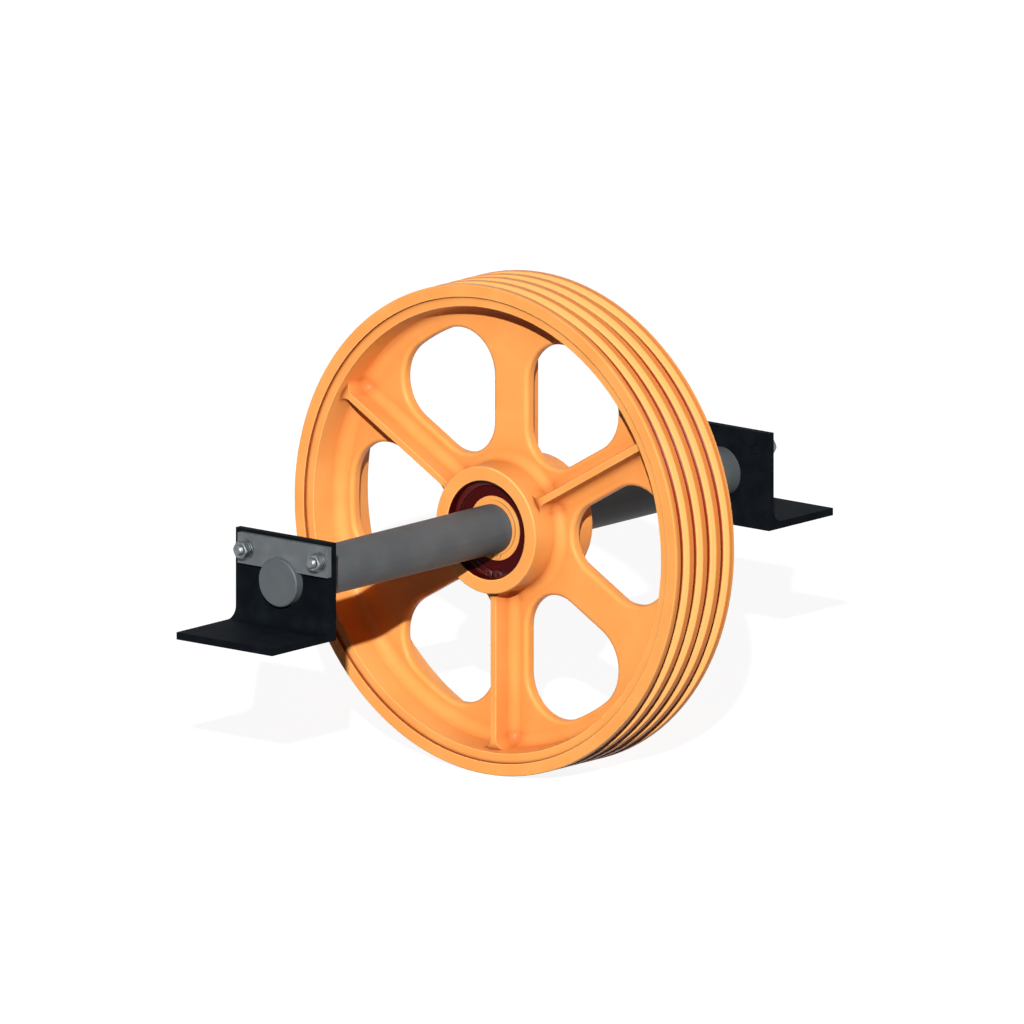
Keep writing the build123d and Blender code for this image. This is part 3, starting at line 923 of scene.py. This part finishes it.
@dataclass
class PhotoCamera:
    """The camera of the photograph, which has no perspective.

    Attributes:
        azimuth: degrees to the right of the view along +Y.
        elevation: degrees above the horizon.
        scale: pixels for each millimetre across the view.
        wheel_pixel: where the wheel's middle shows.
        image_side: the picture's width and height in pixels.
        distance: how far off the camera stands, which changes nothing that it sees.
    """

    azimuth: float = 40.0
    elevation: float = 12.19
    scale: float = 1.247
    wheel_pixel: tuple[float, float] = (514.4, 523.1)
    image_side: float = 1024.0
    distance: float = 2500.0

    def build(self, wheel_middle: Vector) -> bpy.types.Object:
        """Makes the camera and gives it to the scene.

        Args:
            wheel_middle: the middle of the wheel, in metres.

        Returns:
            The camera.
        """
        back = direction(self.azimuth, self.elevation)
        right = UP.cross(back).normalized()
        up = back.cross(right)
        half = self.image_side / 2
        shift_right = (half - self.wheel_pixel[0]) / self.scale * MM
        shift_up = (self.wheel_pixel[1] - half) / self.scale * MM
        target = wheel_middle + right * shift_right + up * shift_up
        lens = bpy.data.cameras.new("photo_camera")
        lens.type = "ORTHO"
        lens.ortho_scale = self.image_side / self.scale * MM
        lens.clip_end = 100.0
        camera = bpy.data.objects.new("photo_camera", lens)
        camera.location = target + back * self.distance * MM
        camera.rotation_mode = "QUATERNION"
        camera.rotation_quaternion = back.to_track_quat("Z", "Y")
        bpy.context.scene.collection.objects.link(camera)
        bpy.context.scene.camera = camera
        return camera


@dataclass(frozen=True)
class Lamp:
    """A lamp so far off that its light is the same all over the object.

    Attributes:
        name: its name.
        azimuth: where it stands, to the right of the view along +Y, in degrees.
        elevation: its height above the horizon, in degrees.
        strength: its strength. At pi, a face square to it shows its own colour.
        spread: how wide it looks, in degrees, which softens its shadows.
        mirrored: whether glossy surfaces show its reflection.
    """

    name: str
    azimuth: float
    elevation: float
    strength: float
    spread: float
    mirrored: bool = False

    def build(self) -> bpy.types.Object:
        """Makes the lamp and puts it in the scene."""
        light = bpy.data.lights.new(self.name, "SUN")
        light.energy = self.strength
        light.angle = math.radians(self.spread)
        lamp = bpy.data.objects.new(self.name, light)
        lamp.rotation_mode = "QUATERNION"
        lamp.rotation_quaternion = direction(self.azimuth, self.elevation).to_track_quat("Z", "Y")
        lamp.visible_glossy = self.mirrored
        bpy.context.scene.collection.objects.link(lamp)
        return lamp


@dataclass
class Studio:
    """The pale floor and the light around the object.

    Attributes:
        key: the main lamp, just above the camera of the photograph.
        fills: soft lamps behind and beside the object, whose light that camera hardly sees.
        sky_strength: the even light from all round.
        sky_colour: its tint.
        floor_side: the width of the floor, in metres.
        floor_colour: the floor's colour for the light that it throws back on the object.
        floor_seen_colour: its colour where it is seen, on which the shadow shows.
        floor_glow: the white that is added where it is seen, so that the lit floor comes out white.
    """

    key: Lamp = Lamp("key_lamp", azimuth=38.3, elevation=21.9, strength=5.0, spread=0.8, mirrored=True)
    fills: tuple[Lamp, ...] = (
        Lamp("back_lamp", azimuth=188.0, elevation=8.0, strength=2.2, spread=30.0),
        Lamp("left_lamp", azimuth=272.0, elevation=8.0, strength=1.4, spread=30.0),
    )
    sky_strength: float = 0.05
    sky_colour: str = "#FF8070"
    floor_side: float = 14.0
    floor_colour: str = "#484848"
    floor_seen_colour: str = "#808080"
    floor_glow: float = 0.9

    def seen_directly(self, tree: bpy.types.NodeTree) -> bpy.types.NodeSocket:
        """1 for what the camera sees straight, in a mirror or through glass, and 0 for scattered light."""
        camera = add_node(tree, "LightPath", output="Is Camera Ray")
        mirror = add_node(tree, "LightPath", output="Is Glossy Ray")
        glass = add_node(tree, "LightPath", output="Is Transmission Ray")
        straight = add_node(tree, "Math", (camera, mirror), operation="MAXIMUM")
        return add_node(tree, "Math", (straight, glass), operation="MAXIMUM")

    def sky(self) -> bpy.types.World:
        """Makes the even light, which looks white and lights softly."""
        world = bpy.data.worlds.new("studio_white")
        world.use_nodes = True
        tree = world.node_tree
        seen = self.seen_directly(tree)
        strength = add_node(tree, "MapRange", {"Value": seen, "To Min": self.sky_strength, "To Max": 1.0})
        sky_inputs = colour_inputs(seen, linear(self.sky_colour), linear("#FFFFFF"))
        colour = add_node(tree, "Mix", sky_inputs, **COLOUR_MIX)
        background = tree.nodes["Background"]
        tree.links.new(colour, background.inputs["Color"])
        tree.links.new(strength, background.inputs["Strength"])
        bpy.context.scene.world = world
        return world

    def floor(self, height: float) -> bpy.types.Object:
        """Makes the floor.

        Args:
            height: the level of its top, in metres.

        Returns:
            The floor.
        """
        material = bpy.data.materials.new("studio_floor_white")
        material.use_nodes = True
        tree = material.node_tree
        shader = tree.nodes["Principled BSDF"]
        shader.inputs["Roughness"].default_value = 1.0
        shader.inputs["Specular IOR Level"].default_value = 0.0
        shader.inputs["Emission Color"].default_value = linear("#FFFFFF")
        seen = self.seen_directly(tree)
        floor_inputs = colour_inputs(seen, linear(self.floor_colour), linear(self.floor_seen_colour))
        colour = add_node(tree, "Mix", floor_inputs, **COLOUR_MIX)
        tree.links.new(colour, shader.inputs["Base Color"])
        glow = add_node(tree, "Math", (seen, self.floor_glow), operation="MULTIPLY")
        tree.links.new(glow, shader.inputs["Emission Strength"])
        half = self.floor_side / 2
        ways = ((-1, -1), (1, -1), (1, 1), (-1, 1))
        corners = [Vector((x * half, y * half, height)) for x, y in ways]
        floor = mesh_piece("studio_floor", corners, [(0, 1, 2, 3)], material)
        return floor


def main() -> None:
    """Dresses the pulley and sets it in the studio."""
    logging.basicConfig(level=logging.INFO, format="%(name)s: %(message)s")
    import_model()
    bpy.context.scene.view_settings.view_transform = "Standard"
    low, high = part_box("sheave")
    wheel_middle = (low + high) / 2
    PhotoCamera().build(wheel_middle)
    studio = Studio()
    studio.key.build()
    for lamp in studio.fills:
        lamp.build()
    studio.sky()
    studio.floor(low.z)
    enamel = ORANGE_ENAMEL.material(wheel_middle)
    overspray = OVERSPRAY.material(wheel_middle)
    # Dark red painted shade for the rings, shields and circlips deep in the hub's mouths.
    mouth_shade_finish = MOUTH_SHADE_STEEL.material(wheel_middle)
    circlip_shade_finish = CIRCLIP_SHADE_OVERSPRAY.material(wheel_middle)
    pressed = PRESSED.material(wheel_middle)
    polished = POLISHED.material(wheel_middle)
    black = BLACK_ENAMEL.material(ORIGIN)
    flat = FLAT_STEEL.material(ORIGIN)
    zinc = ZINC.material(ORIGIN)
    Wheel().dress(enamel, mouth_shade_finish, circlip_shade_finish, pressed)
    Axle().dress(BAR_STEEL.material(ORIGIN), TUBE.material(wheel_middle), overspray)
    for side in Side:
        BallSet(side).dress(polished, pressed)
        AxleSupport(side).dress(black, flat, zinc)


if __name__ == "__main__":
    main()
